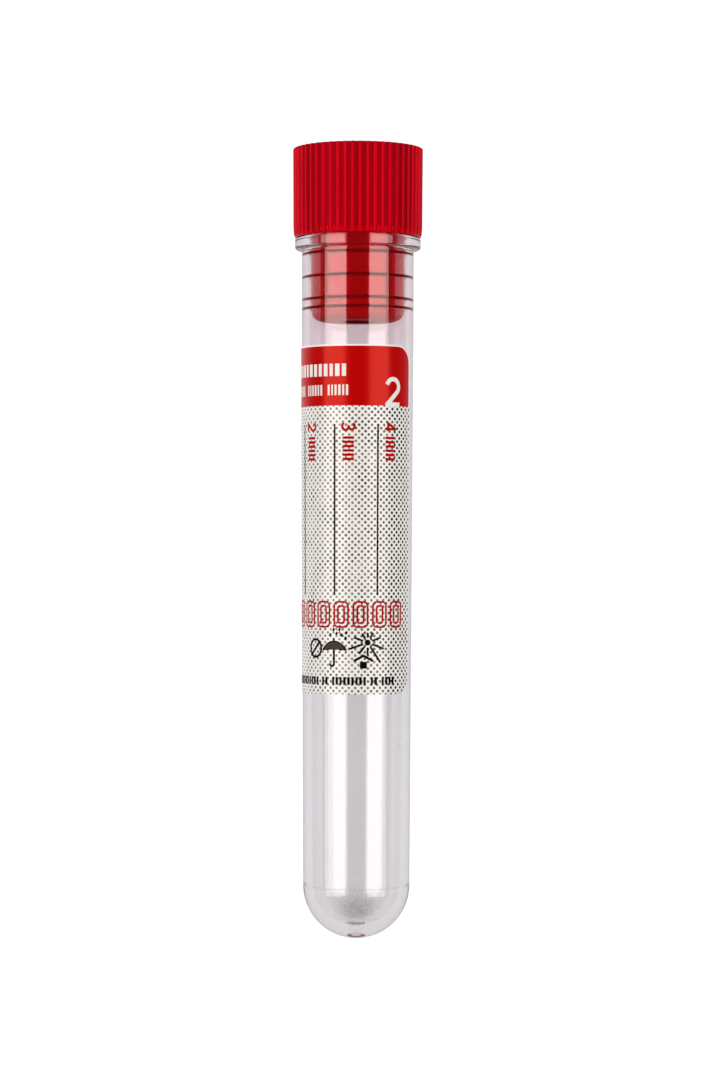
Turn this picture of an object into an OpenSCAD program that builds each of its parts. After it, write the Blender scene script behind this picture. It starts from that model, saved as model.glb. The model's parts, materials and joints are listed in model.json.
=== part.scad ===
// Blood collection tube, 16 x 100 mm, with a ribbed push-in stopper and a wrapped label.
// It lies as it comes to rest: on its round bottom and on two ribs of the stopper's head.
// The tube's axis runs along +Y, the stopper towards +Y, and the label's face looks up.

/* [Tube] */
// Length of the tube, from its bottom to its rim
tube_length = 100; // [85:1:130]
// Outer diameter of the straight neck below the rim
neck_d = 16; // [15.4:0.1:17]
// Length of the straight neck, from the rim down
neck_length = 11; // [6:0.5:12.5]
// How much narrower the tube is at its round bottom than at its neck
outer_draft = 0.8; // [0:0.1:1.2]
// Thickness of the wall at the rim
mouth_wall = 0.9; // [0.8:0.05:1.1]
// Thickness of the wall where the round bottom begins
base_wall = 1.35; // [1:0.05:1.6]
// Thickness of the wall at the middle of the bottom
bottom_wall = 1.5; // [1.2:0.1:3]
// How far the flange round the rim stands out of the neck
flange_out = 1; // [0.7:0.05:1.3]
// Thickness of the flange
flange_t = 1.7; // [1:0.1:3]
// Rounding of the flange's outer edges
flange_round = 0.4; // [0.1:0.05:0.45]
// Diameter of the flat that the mould's gate leaves on the bottom
gate_d = 2.7; // [2:0.1:4]
// Depth of the dimple inside that flat
gate_depth = 0.45; // [0.2:0.05:0.8]

/* [Stopper] */
// How far the head's ribs stand out past the flange, at the head's top
head_out = 0.3; // [0.15:0.05:0.8]
// Height of the head above the rim
head_h = 12.8; // [8:0.2:18]
// How much narrower the head is at its lower edge than at its top
head_draft = 0.14; // [0:0.02:0.24]
// Number of grip ribs round the head
rib_count = 52; // [36:1:60]
// Width of one grip rib
rib_w = 0.7; // [0.6:0.05:0.8]
// How far the grip ribs stand out of the head's wall
rib_out = 0.3; // [0.2:0.02:0.3]
// How much of the ribs' round crests the mould cuts flat
crest_trim = 0.05; // [0.03:0.01:0.1]
// Height of the bevel round the head's lower edge
lip_h = 0.35; // [0.3:0.05:1.2]
// How far that bevel steps in
lip_in = 0.25; // [0.1:0.01:0.5]
// Bevel of the head's top edge
top_bevel = 0.2; // [0.1:0.05:0.4]
// Wall of the hollow head
head_wall = 1.4; // [1:0.1:1.8]
// Gap between the plug and the bore at the rim
plug_gap = 0.4; // [0.3:0.05:0.6]
// Length of the plug below the rim
plug_length = 12; // [11.4:0.2:18]
// Wall of the hollow plug
plug_wall = 1.2; // [0.9:0.1:1.8]
// Thickness of the floor that closes the plug
plug_floor = 1.3; // [0.8:0.1:2]
// Height of the bevel round the plug's end
nose_h = 1.5; // [0.8:0.1:2]
// How far that bevel steps in
nose_in = 1.2; // [0.6:0.1:1.6]
// Depth of each sealing fin below the rim
fin_depths = [2.4, 5.7, 8.9, 10.2]; // [1:0.05:11]
// Thickness of one sealing fin at its edge
fin_t = 0.3; // [0.2:0.05:0.4]
// Clearance between the fins' edges and the bore
fin_gap = 0.03; // [0.02:0.01:0.1]

/* [Label] */
// Distance from the rim to the label's upper edge
label_drop = 15.65; // [13:0.05:20]
// Height of the label along the tube
label_h = 49.3; // [36:0.1:56]
// Width of the label round the tube
label_w = 40; // [30:0.2:44]
// Angle from the top of the lying tube to the label's right edge
label_right = 66; // [40:1:90]
// Thickness of the label
label_t = 0.1; // [0.06:0.01:0.2]
// Radius of the label's corners
label_corner = 2.8; // [1:0.1:4]
// Height of the red field, from the label's upper edge
header_h = 8.65; // [5:0.05:12]
// Width of the paper border that shows round the red field
header_border = 0.25; // [0.1:0.05:0.8]
// Thickness of the print
ink_t = 0.03; // [0.02:0.01:0.05]
// Number of write-in rules
rule_count = 4; // [1:1:5]
// Distance between the rules round the tube
rule_pitch = 6.2; // [4:0.1:7]
// Distance from the label's right edge to the nearest rule
rule_inset = 6.1; // [2:0.1:8]
// Gap between the red field and the rules
rule_gap = 2.6; // [0.5:0.1:5]
// Width of a rule
rule_w = 0.22; // [0.15:0.01:0.5]
// Number of outlined boxes in the row below the rules
box_count = 7; // [1:1:9]
// Width of an outlined box
box_w = 2.3; // [1.5:0.1:2.6]
// Height of an outlined box
box_h = 3.8; // [2:0.1:5]
// Distance between the outlined boxes round the tube
box_pitch = 2.8; // [2.7:0.1:3.2]
// Distance from the label's right edge to the nearest box
box_inset = 1.9; // [1:0.1:6]
// Distance from the label's lower edge to the boxes
box_rise = 9.35; // [5:0.05:12]
// Gap between the rules and the boxes
box_gap = 0.8; // [0.4:0.1:4]
// Width of the boxes' outline
box_line = 0.22; // [0.15:0.01:0.4]

/* [Hidden] */

$fn = 96;
// How far a cutting tool reaches past what it cuts
past = 1;

// Tube: heights are measured up the axis from the flat on the bottom
neck_r = neck_d / 2;
base_r = (neck_d - outer_draft) / 2;
mouth_r = neck_r - mouth_wall;
bore_base_r = base_r - base_wall;
flange_r = neck_r + flange_out;
gate_r = gate_d / 2;
dimple_r = gate_r - 0.3;
dimple_top_r = dimple_r * 0.6;
rim_z = tube_length;
flange_z = rim_z - flange_t;
neck_z = rim_z - neck_length;
base_z = sqrt(pow(base_r, 2) - pow(gate_r, 2));
bore_base_z = bottom_wall + bore_base_r;

function outer_r(z) = z > neck_z ? neck_r
    : base_r + (neck_r - base_r) * (z - base_z) / (neck_z - base_z);
function bore_r(z) = bore_base_r
    + (mouth_r - bore_base_r) * (z - bore_base_z) / (rim_z - bore_base_z);

// Stopper: its head sits on the rim and its plug hangs in the bore
head_top_r = flange_r + head_out;
head_low_r = head_top_r - head_draft / 2;
groove_r = head_top_r - rib_out;
rib_r = rib_w / 2;
rib_middle_r = head_top_r + crest_trim - rib_r;
rib_angle = 360 / rib_count;
head_top_z = rim_z + head_h;
lip_z = rim_z + lip_h;
head_bore_r = groove_r - head_wall;
plug_r = mouth_r - plug_gap;
plug_bore_r = plug_r - plug_wall;
plug_end_z = rim_z - plug_length;

// Label: heights of its edges and of its print
label_top_z = rim_z - label_drop;
label_low_z = label_top_z - label_h;
header_top_z = label_top_z - header_border;
header_low_z = label_top_z - header_h;
box_low_z = label_low_z + box_rise;
rule_top_z = header_low_z - rule_gap;
rule_low_z = box_low_z + box_h + box_gap;
label_middle_r = outer_r((label_top_z + label_low_z) / 2) + label_t;

// Degrees round the label's face for a length along it
function wrap_angle(length) = length / label_middle_r * 180 / PI;

// At rest the tube leans on its round bottom and on what sticks out furthest at its other end:
// the two ribs nearest the floor, at the head's lower or upper edge, or else the flange
function crest_half_angle(crest_r) =
    acos((pow(crest_r, 2) + pow(rib_middle_r, 2) - pow(rib_r, 2)) / (2 * crest_r * rib_middle_r));
function rib_rest_r(crest_r) = crest_r * cos(rib_angle / 2 - crest_half_angle(crest_r));
function lean(r, z) = acos(base_r / norm([r, z - base_z])) - atan2(z - base_z, r);
rest_tilt = max(lean(rib_rest_r(head_low_r), lip_z),
    lean(rib_rest_r(head_top_r), head_top_z - top_bevel),
    lean(flange_r, flange_z + flange_round));
end_y_low = -gate_r * sin(rest_tilt);
end_y_high = head_top_z * cos(rest_tilt) + (head_top_r - top_bevel) * sin(rest_tilt);

// Lays a piece that is drawn upright on the floor, with its front, -Y, turned up
module laid_down()
    translate([0, -(end_y_low + end_y_high) / 2, base_r - base_z * sin(rest_tilt)])
        rotate([rest_tilt - 90, 0, 0])
            children();

// Half of the tube's outer section, with the axis at x = 0
module tube_outline() {
    intersection() {
        union() {
            translate([0, base_z]) circle(base_r);
            polygon([[0, base_z], [base_r, base_z], [neck_r, neck_z], [neck_r, rim_z], [0, rim_z]]);
            translate([0, flange_z + flange_round])
                square([flange_r, flange_t - 2 * flange_round]);
            translate([0, flange_z])
                square([flange_r - flange_round, flange_t]);
            for (z = [flange_z + flange_round, rim_z - flange_round])
                translate([flange_r - flange_round, z]) circle(flange_round);
        }
        square([flange_r + past, rim_z]);
    }
}

// Half of the bore's section, which runs on past the rim
module bore_outline() {
    intersection() {
        translate([0, bore_base_z]) circle(bore_base_r);
        square([bore_base_r + past, bore_base_z]);
    }
    polygon([[0, bore_base_z], [bore_base_r, bore_base_z],
        [bore_r(rim_z + past), rim_z + past], [0, rim_z + past]]);
}

// The cone-sided dimple that the gate leaves in the flat on the bottom
module gate_dimple() {
    translate([0, 0, -gate_depth])
        cylinder(h = 2 * gate_depth, r1 = 2 * dimple_r - dimple_top_r, r2 = dimple_top_r);
}

// One clear moulding: rim flange, straight neck, drafted wall, round bottom and gate mark
module tube() {
    color([0.80, 0.79, 0.82, 0.45])
        laid_down()
            difference() {
                rotate_extrude() tube_outline();
                rotate_extrude() bore_outline();
                gate_dimple();
            }
}

// The head as turned, before its grooves are cut
module head_blank() {
    rotate_extrude()
        polygon([[0, rim_z], [head_low_r - lip_in, rim_z], [head_low_r, lip_z],
            [head_top_r, head_top_z - top_bevel], [head_top_r - top_bevel, head_top_z],
            [0, head_top_z]]);
}

// Everything that the grip ribs leave open, cut down into the lower bevel
module head_grooves() {
    translate([0, 0, rim_z + lip_h / 2])
        linear_extrude(head_h + past)
            difference() {
                circle(head_top_r + past);
                circle(groove_r);
                for (i = [0:rib_count - 1])
                    rotate(90 + (i + 0.5) * rib_angle)
                        translate([rib_middle_r, 0]) circle(rib_r, $fn = 24);
            }
}

// The plug with its bevelled end, and one ring for each sealing fin
module plug() {
    translate([0, 0, plug_end_z])
        cylinder(h = nose_h, r1 = plug_r - nose_in, r2 = plug_r);
    translate([0, 0, plug_end_z + nose_h])
        cylinder(h = plug_length - nose_h + lip_h, r = plug_r);
    for (depth = fin_depths) {
        fin_z = rim_z - depth;
        fin_r = bore_r(fin_z - fin_t) - fin_gap;
        rotate_extrude()
            polygon([[plug_bore_r, fin_z - fin_t], [plug_r, fin_z - fin_t],
                [fin_r, fin_z - fin_t / 2], [fin_r, fin_z + fin_t / 2],
                [plug_r, fin_z + fin_t], [plug_bore_r, fin_z + fin_t]]);
    }
}

// The recess in the top of the head, which runs on down into the plug
module stopper_hollow() {
    translate([0, 0, rim_z + head_wall])
        cylinder(h = head_h, r = head_bore_r);
    translate([0, 0, plug_end_z + plug_floor])
        cylinder(h = plug_length + head_h, r = plug_bore_r);
}

// One soft red moulding: ribbed head, hollow from above, and a finned plug
module stopper() {
    color([0.78, 0.02, 0.06])
        laid_down()
            difference() {
                union() {
                    difference() {
                        head_blank();
                        head_grooves();
                    }
                    plug();
                }
                stopper_hollow();
            }
}

// A thin sheet on the tube's wall, from a right edge, given as an angle, round to the left
module sheet(right, low_z, width, height, lift, thickness) {
    low_r = outer_r(low_z) + lift;
    top_r = outer_r(low_z + height) + lift;
    rotate(right - wrap_angle(width) - 90)
        rotate_extrude(angle = wrap_angle(width))
            polygon([[low_r, low_z], [low_r + thickness, low_z],
                [top_r + thickness, low_z + height], [top_r, low_z + height]]);
}

// What rounds one corner of a sheet: the waste outside a quarter circle, cut through the wall
module corner_waste(angle, z, left, low, radius) {
    rotate(angle)
        translate([0, 0, z])
            rotate([90, 0, 0])
                linear_extrude(flange_r)
                    mirror([left, 0]) mirror([0, low])
                        difference() {
                            translate([-radius, -radius]) square(radius + past);
                            translate([-radius, -radius]) circle(radius);
                        }
}

// The paper label, wrapped round the tube with a clear window left at the back
module label() {
    color([0.86, 0.85, 0.83])
        laid_down()
            difference() {
                sheet(label_right, label_low_z, label_w, label_h, 0, label_t);
                for (left = [0, 1], low = [0, 1])
                    corner_waste(label_right - left * wrap_angle(label_w),
                        low == 1 ? label_low_z : label_top_z, left, low, label_corner);
            }
}

// The red field across the label's upper edge, inside a narrow paper border
module label_header() {
    right = label_right - wrap_angle(header_border);
    width = label_w - 2 * header_border;
    color([0.80, 0.02, 0.05])
        laid_down()
            difference() {
                sheet(right, header_low_z, width, header_h - header_border, label_t, ink_t);
                for (left = [0, 1])
                    corner_waste(right - left * wrap_angle(width), header_top_z,
                        left, 0, label_corner - header_border);
            }
}

// The black write-in rules, which run along the tube
module label_rules() {
    color([0.10, 0.10, 0.10])
        laid_down()
            for (i = [0:rule_count - 1])
                sheet(label_right - wrap_angle(rule_inset + i * rule_pitch),
                    rule_low_z, rule_w, rule_top_z - rule_low_z, label_t, ink_t);
}

// The row of red outlined boxes below the rules
module label_boxes() {
    color([0.78, 0.10, 0.12])
        laid_down()
            for (i = [0:box_count - 1]) {
                inset = box_inset + i * box_pitch;
                difference() {
                    sheet(label_right - wrap_angle(inset),
                        box_low_z, box_w, box_h, label_t, ink_t);
                    sheet(label_right - wrap_angle(inset + box_line),
                        box_low_z + box_line, box_w - 2 * box_line, box_h - 2 * box_line,
                        label_t / 2, label_t + ink_t);
                }
            }
}

tube();
stopper();
label();
label_header();
label_rules();
label_boxes();
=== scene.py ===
# %% [markdown]
# # A clear sample tube with a red stopper
#
# This lesson dresses a 16 x 100 mm sample tube: a clear moulded wall, a soft red ribbed stopper and a printed
# paper label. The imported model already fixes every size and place, so each piece below is made upright in the
# tube's own measure, in millimetres up its axis, and then laid where the frame says that the tube lies.

# %% Load the frame
import itertools
import json
import math
import random

import bpy
from mathutils import Matrix, Vector


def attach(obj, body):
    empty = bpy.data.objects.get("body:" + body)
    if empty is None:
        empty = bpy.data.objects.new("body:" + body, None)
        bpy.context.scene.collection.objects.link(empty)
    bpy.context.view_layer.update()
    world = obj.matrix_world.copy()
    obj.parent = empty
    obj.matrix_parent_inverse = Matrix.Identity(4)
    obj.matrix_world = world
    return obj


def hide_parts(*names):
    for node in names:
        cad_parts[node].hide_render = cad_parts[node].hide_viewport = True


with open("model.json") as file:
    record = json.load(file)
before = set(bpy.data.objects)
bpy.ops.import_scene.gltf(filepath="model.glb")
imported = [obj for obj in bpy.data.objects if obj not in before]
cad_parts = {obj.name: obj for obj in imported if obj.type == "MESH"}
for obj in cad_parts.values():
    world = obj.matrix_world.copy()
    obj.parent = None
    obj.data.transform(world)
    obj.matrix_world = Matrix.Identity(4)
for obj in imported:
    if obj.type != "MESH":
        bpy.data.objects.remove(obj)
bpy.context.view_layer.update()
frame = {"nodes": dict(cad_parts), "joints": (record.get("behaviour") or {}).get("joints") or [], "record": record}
MM = 0.001

# %% [markdown]
# ## Where the tube lies
#
# The stopper slides along the tube's axis, so its joint gives the axis. The rack mount gives one point on that
# axis. How far the tube's own points reach along it gives its length. The lying tube leans up by about a degree,
# because the stopper's head is wider than the round bottom.

# %% Read the axis and the length of the tube
neck_mount = frame["record"]["mounts"][0]
up_axis = Vector(frame["joints"][0]["axis"]).normalized()
on_axis = Vector(neck_mount["pos_m"])


def heights(node, start):
    """How far each point of a node lies up the axis from start, in millimetres."""
    return [(v.co - start).dot(up_axis) / MM for v in frame["nodes"][node].data.vertices]


tube_reach = heights("tube", on_axis)
bottom_middle = on_axis + up_axis * min(tube_reach) * MM
RIM_Z = max(tube_reach) - min(tube_reach)
HEAD_TOP_Z = max(heights("stopper", bottom_middle))
PLUG_END_Z = min(heights("stopper", bottom_middle))

# The tube's own frame: X to the right, -Y to the front, which looks up, and Z up the axis
side = Vector((1, 0, 0))
back = up_axis.cross(side)
LAID = Matrix((side, back, up_axis)).transposed().to_4x4()
LAID.translation = bottom_middle
LAID = LAID @ Matrix.Scale(MM, 4)
print(f"rim at {RIM_Z:.2f} mm, head top at {HEAD_TOP_Z:.2f} mm, plug end at {PLUG_END_Z:.2f} mm")

# %% [markdown]
# ## Sizes of the wall
#
# These are the moulding's own sizes, in millimetres. The label and the print take their radius from outer_r(),
# and the stopper's fins take theirs from bore_r(), so that what touches the wall follows it. The height of the
# label's upper edge is here too, because the wall's tint fades out near it.

# %% Sizes of the tube
NECK_R = neck_mount["dims"]["r_mm"]
NECK_LENGTH = 11
NECK_Z = RIM_Z - NECK_LENGTH
BASE_R = 7.6
GATE_R = 1.35
BASE_Z = math.sqrt(BASE_R**2 - GATE_R**2)
BOTTOM_WALL = 1.5
BORE_BASE_R = 6.25
BORE_BASE_Z = BOTTOM_WALL + BORE_BASE_R
MOUTH_R = 7.1
FLANGE_R = 9.0
FLANGE_T = 1.7
FLANGE_ROUND = 0.4
FLANGE_FILLET = 0.25
MOUTH_ROUND = 0.15
GATE_RING_W = 0.3
DIMPLE_R = GATE_R - GATE_RING_W
DIMPLE_DEPTH = 0.3
LABEL_DROP = 15.65
LABEL_TOP_Z = RIM_Z - LABEL_DROP


def outer_r(z):
    """Radius of the outer wall at height z, below the flange."""
    share = (min(z, NECK_Z) - BASE_Z) / (NECK_Z - BASE_Z)
    return BASE_R + (NECK_R - BASE_R) * share


def bore_r(z):
    """Radius of the tapered bore at height z."""
    return BORE_BASE_R + (MOUTH_R - BORE_BASE_R) * (z - BORE_BASE_Z) / (RIM_Z - BORE_BASE_Z)


# %% [markdown]
# ## Turning a section
#
# The tube and the stopper are round mouldings, so a half section turned about the axis makes each of them. A
# section is a list of (radius, height) points that starts and ends on the axis, with arc() for the rounded
# edges. Smooth shading blends the normals at each point, which would bend light along the whole wall, so
# hold_edges() adds a point close to both ends of every long stretch. Blender could do this with a Screw
# modifier, but the ribbed head needs a radius that changes round the turn, so the rings are made here.

# %% Sections and turned meshes
HOLD = 0.04
LONG_STRETCH = 4 * HOLD
SAME_POINT = 1e-6
CREASE = math.radians(50)


def oval(x, z, width, height, start, end, steps):
    """Points on part of an oval, from start to end in degrees, where 0 points outwards and 90 up."""
    angles = [math.radians(start + (end - start) * i / steps) for i in range(steps + 1)]
    return [(x + width * math.cos(a), z + height * math.sin(a)) for a in angles]


def arc(x, z, radius, start, end, steps):
    return oval(x, z, radius, radius, start, end, steps)


def hold_edges(section):
    """The section with two more points on each long stretch, close to its ends."""
    held = [section[0]]
    for (r0, z0), (r1, z1) in zip(section, section[1:]):
        length = math.hypot(r1 - r0, z1 - z0)
        if length < SAME_POINT:
            continue
        if length > LONG_STRETCH:
            for share in (HOLD / length, 1 - HOLD / length):
                held.append((r0 + (r1 - r0) * share, z0 + (z1 - z0) * share))
        held.append((r1, z1))
    return held


def new_object(name, data):
    """An object in the scene that carries a mesh, a lamp or a camera."""
    thing = bpy.data.objects.new(name, data)
    bpy.context.scene.collection.objects.link(thing)
    return thing


def new_piece(name, points, faces):
    """A smooth-shaded object from points in the tube's own millimetres, laid where the tube lies."""
    mesh = bpy.data.meshes.new(name)
    mesh.from_pydata(points, [], faces)
    mesh.validate()
    mesh.shade_smooth()
    mesh.set_sharp_from_angle(angle=CREASE)
    piece = new_object(name, mesh)
    piece.matrix_world = LAID
    return piece


def round_axis(radius, turn, z):
    """The point at this radius and height, turned by this angle from the right."""
    return (radius * math.cos(turn), radius * math.sin(turn), z)


def side_faces(here, there, count):
    """Faces between two outlines of count points each, given the number of the first point of both."""
    return [(here + k, there + k, there + (k + 1) % count, here + (k + 1) % count) for k in range(count)]


def turned(name, section, angles, radius_at=None):
    """Turns a section that starts and ends on the axis. radius_at(row, angle) may change a ring's radius."""
    rows = section[1:-1]
    count = len(angles)
    points = [(0, 0, section[0][1]), (0, 0, section[-1][1])]
    for row, (radius, z) in enumerate(rows):
        for angle in angles:
            points.append(round_axis(radius_at(row + 1, angle) if radius_at else radius, angle, z))

    def ring(row, i):
        return 2 + row * count + i % count

    faces = [(0, ring(0, i + 1), ring(0, i)) for i in range(count)]
    for row in range(len(rows) - 1):
        faces += [(ring(row, i), ring(row, i + 1), ring(row + 1, i + 1), ring(row + 1, i))
                  for i in range(count)]
    faces += [(1, ring(len(rows) - 1, i), ring(len(rows) - 1, i + 1)) for i in range(count)]
    return new_piece(name, points, faces)


# %% [markdown]
# ## Shader maths
#
# A material is a graph of nodes, which is long to write out. Wire wraps one socket, so that an expression such
# as 1 - mask adds the Math node by itself. Graph.add() makes any other node, from its type, its settings and
# its sockets. A Finish is the graph of one material, and the sky at the end has a graph too.

# %% Wires
def maths(operation, flipped=False):
    """A method for Wire that adds one Math node. With flipped=True the wire is the second number."""
    def method(self, *others):
        values = (*others, self) if flipped else (self, *others)
        return self.graph.add("ShaderNodeMath", {"operation": operation}, dict(enumerate(values)))

    return method


class Wire:
    """A number that a shader works out, for use in a Python expression.

    A plain number may stand on either side of +, - and *. fraction() is the part after the point, size() the
    number without its sign, and angle_to() the angle in radians whose tangent is this number over the other.
    """

    __add__ = __radd__ = maths("ADD")
    __mul__ = __rmul__ = maths("MULTIPLY")
    __sub__ = maths("SUBTRACT")
    __rsub__ = maths("SUBTRACT", flipped=True)
    __truediv__ = maths("DIVIDE")
    __lt__ = maths("LESS_THAN")
    __gt__ = maths("GREATER_THAN")
    power = maths("POWER")
    root = maths("SQRT")
    fraction = maths("FRACT")
    size = maths("ABSOLUTE")
    angle_to = maths("ARCTAN2")

    def __init__(self, graph, socket):
        self.graph = graph
        self.socket = socket

    def between(self, low, high):
        """0 below low and 1 above high, with a smooth step from one to the other."""
        settings = {"interpolation_type": "SMOOTHSTEP"}
        sockets = {"Value": self, "From Min": low, "From Max": high}
        return self.graph.add("ShaderNodeMapRange", settings, sockets)


# %% Graphs and finishes
class Graph:
    """A tree of shader nodes."""

    def __init__(self, tree):
        self.tree = tree

    def add(self, kind, settings, sockets, output=0):
        """A new node as a Wire on one of its outputs. Settings go first, because some change the sockets."""
        node = self.tree.nodes.new(kind)
        for name, value in settings.items():
            setattr(node, name, value)
        for name, value in sockets.items():
            self.feed(node.inputs[name], value)
        return Wire(self, node.outputs[output])

    def feed(self, socket, value):
        if isinstance(value, Wire):
            self.tree.links.new(value.socket, socket)
        elif isinstance(value, tuple) and socket.type == "RGBA" and len(value) == 3:
            socket.default_value = (*value, 1)
        else:
            socket.default_value = value

    def ray(self, kind):
        """1 for rays of one kind and 0 for all others."""
        return self.add("ShaderNodeLightPath", {}, {}, output=kind)

    def split(self, vector):
        """The three numbers of a vector."""
        parts = self.add("ShaderNodeSeparateXYZ", {}, {"Vector": vector}).socket.node.outputs
        return [Wire(self, part) for part in parts]


class Finish(Graph):
    """One material. Its surface is the Principled node until show() puts another shader there."""

    def __init__(self, name, **values):
        self.material = bpy.data.materials.new(name)
        self.material.use_nodes = True
        super().__init__(self.material.node_tree)
        self.tree.nodes.clear()
        self.surface = self.add("ShaderNodeBsdfPrincipled", {}, {})
        self.set(**values)
        self.output = self.tree.nodes.new("ShaderNodeOutputMaterial")
        self.show(self.surface)

    def set(self, **sockets):
        """Feeds the Principled node's sockets."""
        for name, value in sockets.items():
            self.feed(self.surface.socket.node.inputs[name.replace("_", " ")], value)

    def show(self, shader):
        self.feed(self.output.inputs["Surface"], shader)

    def mix(self, share, first, second):
        """A colour between two colours."""
        sockets = {"Factor": share, 6: first, 7: second}
        return self.add("ShaderNodeMix", {"data_type": "RGBA"}, sockets, output=2)

    def place(self):
        """The point on the piece in its own millimetres, as a vector."""
        return self.add("ShaderNodeTexCoord", {}, {}, output="Object")

    def noise(self, place, scale, detail=2):
        """Soft cloudy noise from 0 to 1. scale is in waves to a millimetre."""
        return self.add("ShaderNodeTexNoise", {}, {"Vector": place, "Scale": scale, "Detail": detail})

    def bump(self, height, distance):
        """Relief that height, from 0 to 1, draws on the surface, distance millimetres deep."""
        sockets = {"Height": height, "Distance": distance * MM, "Strength": 1.0}
        self.set(Normal=self.add("ShaderNodeBump", {}, sockets))


def streaked(name, dark, light, scale, **values):
    """A finish that goes from a dark to a light colour in soft streaks."""
    finish = Finish(name, **values)
    streak = finish.noise(finish.place(), scale, 3)
    finish.set(Base_Color=finish.mix(streak.between(0.3, 0.7), dark, light))
    return finish


def dress(piece, finish, body, slot, *nodes):
    """Gives a piece its material and its body, and hides the nodes that it stands for. slot is not used."""
    piece.data.materials.append(finish.material)
    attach(piece, body)
    if nodes:
        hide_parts(*nodes)
    print(f"{piece.name}: {len(piece.data.polygons)} faces on {body}")


# %% [markdown]
# ## The clear wall
#
# The real tube is injection moulded in clear polystyrene, which bends light strongly and is very slightly grey
# and lilac in its thickness. A Principled node with full transmission does the bending. Lamps can't shine
# through bent glass without caustics, so rays on their way to a lamp, or sent out by matt surfaces, meet a
# Transparent shader instead: the label's inside and the plug then get their light.
#
# The tint changes up the wall, and these changes are painted light. The wall round the stopper has a painted
# reflection of its red, and the flange is painted paler and pinker. Two small marks of the mould get painted
# shade: the rim of the gate's dimple in dark red, and the parting ridge on the front in grey.

# %% Clear polystyrene
WALL_TINT = (0.91, 0.903, 0.918)
# A pink tint for the wall round the stopper: a painted reflection of its red
RED_REFLECTION_TINT = (0.89, 0.81, 0.84)
# Painted light: the flange's paler, pinker tint
FLANGE_PAINTED_LIGHT = (1.0, 0.93, 0.965)
# Painted shade: dark red on the gate's rim, and grey on the front of the parting ridge, in the next two tints
GATE_SHADE_TINT = (0.66, 0.30, 0.32)
PARTING_SHADE_TINT = (0.82, 0.79, 0.83)
DEPTH_TINT = (0.5, 0.47, 0.51)
DEPTH_DENSITY = 110
PASSED_LIGHT = (0.985, 0.98, 0.985)
PARTING_REACH = 0.07
PARTING_Z = BASE_Z + PARTING_REACH


def clear_polystyrene():
    finish = Finish("clear_polystyrene", Roughness=0.0, IOR=1.59, Transmission_Weight=1.0)
    x, y, z = finish.split(finish.place())
    # The flange gets painted light: a paler, pinker tint
    flange = z.between(RIM_Z - FLANGE_T - 0.5, RIM_Z - FLANGE_T)
    # Above the label the wall gets a painted reflection of the stopper's red
    red_reflection = z.between(LABEL_TOP_Z - 3, LABEL_TOP_Z + 2.5)
    clear = finish.mix(red_reflection, WALL_TINT, RED_REFLECTION_TINT)
    clear = finish.mix(flange, clear, FLANGE_PAINTED_LIGHT)
    radius = (x * x + y * y).root()
    # Painted shade: the gate's rim darker red, and the front of the parting ridge darker grey
    gate = (z < DIMPLE_DEPTH - 0.02) * (radius < GATE_R + 0.05) * (radius > DIMPLE_R * 0.62)
    parting = ((z - PARTING_Z).size() < PARTING_REACH) * (y < 0)
    clear = finish.mix(gate, clear, GATE_SHADE_TINT)
    finish.set(Base_Color=finish.mix(parting, clear, PARTING_SHADE_TINT))
    depth = {"Color": DEPTH_TINT, "Density": DEPTH_DENSITY}
    tinted_depth = finish.add("ShaderNodeVolumeAbsorption", {}, depth)
    finish.feed(finish.output.inputs["Volume"], tinted_depth)
    shader = finish.surface
    for kind in ("Is Shadow Ray", "Is Diffuse Ray"):
        see_through = finish.add("ShaderNodeBsdfTransparent", {}, {"Color": PASSED_LIGHT})
        shader = finish.add("ShaderNodeMixShader", {}, {0: finish.ray(kind), 1: shader, 2: see_through})
    finish.show(shader)
    return finish


# %% [markdown]
# The section runs from the gate's dimple out over the round bottom, up the tapering wall, round the flange and
# back down the bore, which ends in a half ball. A fine ridge near the bottom is where the mould's parts meet.

# %% The tube's wall
PARTING_H = 0.018
PARTING_RISES = (0.04, 0.10)
PARTING_END = 0.15
WALL_SEGMENTS = 256


def tube_section():
    gate_edge = math.degrees(math.asin(-BASE_Z / BASE_R))
    section = [(0, DIMPLE_DEPTH), (DIMPLE_R * 0.6, DIMPLE_DEPTH), (DIMPLE_R, 0.02), (DIMPLE_R + 0.03, 0)]
    section += arc(0, BASE_Z, BASE_R, gate_edge, 0, 44)
    section += [(BASE_R + PARTING_H, BASE_Z + rise) for rise in PARTING_RISES]
    section += [(BASE_R, BASE_Z + PARTING_END)]
    section += [(outer_r(z), z) for z in (30, 60, NECK_Z)]
    flange_z = RIM_Z - FLANGE_T
    section += [(NECK_R, NECK_Z + 0.5)]
    section += arc(NECK_R + FLANGE_FILLET, flange_z - FLANGE_FILLET, FLANGE_FILLET, 180, 90, 5)
    edge_r = FLANGE_R - FLANGE_ROUND
    section += arc(edge_r, flange_z + FLANGE_ROUND, FLANGE_ROUND, -90, 0, 8)
    section += arc(edge_r, RIM_Z - FLANGE_ROUND, FLANGE_ROUND, 0, 90, 8)
    section += arc(MOUTH_R + MOUTH_ROUND, RIM_Z - MOUTH_ROUND, MOUTH_ROUND, 90, 180, 5)
    section += [(bore_r(z), z) for z in (70, 40)]
    section += arc(0, BORE_BASE_Z, BORE_BASE_R, 0, -90, 48)
    return section


def even_turn(count):
    return [2 * math.pi * i / count for i in range(count)]


tube_wall = turned("tube_wall", hold_edges(tube_section()), even_turn(WALL_SEGMENTS))
dress(tube_wall, clear_polystyrene(), "tube", "clear_wall", "tube")

# %% [markdown]
# ## The stopper
#
# The stopper is moulded in soft, slightly waxy polyethylene. Its section is turned like the tube's, but the
# rings on the head follow the grip ribs: rib_height() says how high the rib stands at each angle, and each ring
# on the head says how much of that height it has, so that the grooves run out into the lower bevel.

# %% Sizes of the stopper
HEAD_TOP_R = 9.3
HEAD_LOW_R = 9.23
LIP_IN = 0.25
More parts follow.
